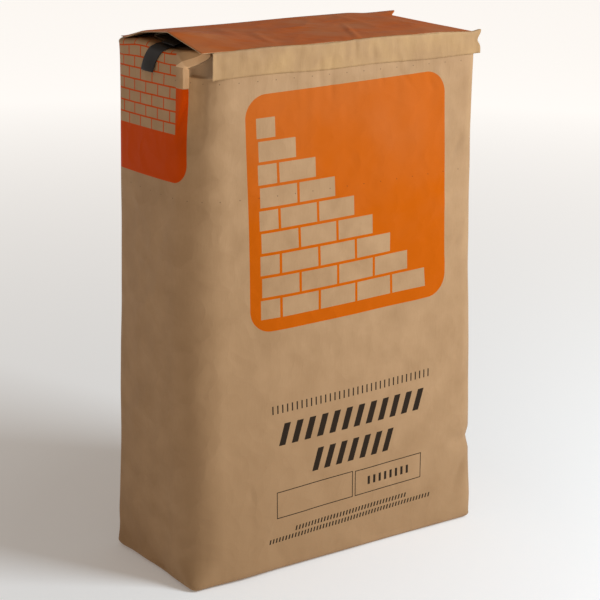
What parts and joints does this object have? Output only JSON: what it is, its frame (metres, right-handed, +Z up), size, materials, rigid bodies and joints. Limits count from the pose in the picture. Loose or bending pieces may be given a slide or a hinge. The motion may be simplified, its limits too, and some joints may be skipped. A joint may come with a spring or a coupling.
{
  "type": "cement bag",
  "caption": "Filled kraft paper valve sack with block ends, standing upright, with a turned-down front strip and an open filling valve at the top of one side.",
  "frame": {"origin": "on the floor, under the middle of the standing bag", "axes": "+Z up along the bag's height, +X across its width, +Y to the back; the printed front faces -Y and the valve opens on the -X side"},
  "size_m": [0.3703, 0.1746, 0.5632],
  "materials": {
    "kraft": "matte",
    "printed_kraft": "matte",
    "cement": "matte",
    "black_strip": "matte"
  },
  "bodies": {
    "root": {"kraft_sack": "kraft", "cement_fill": "cement", "top_cover_sheet": "printed_kraft", "bottom_cover_sheet": "kraft", "front_flap": "kraft", "valve_sleeve": "kraft", "valve_strip": "black_strip"}
  },
  "joints": []
}
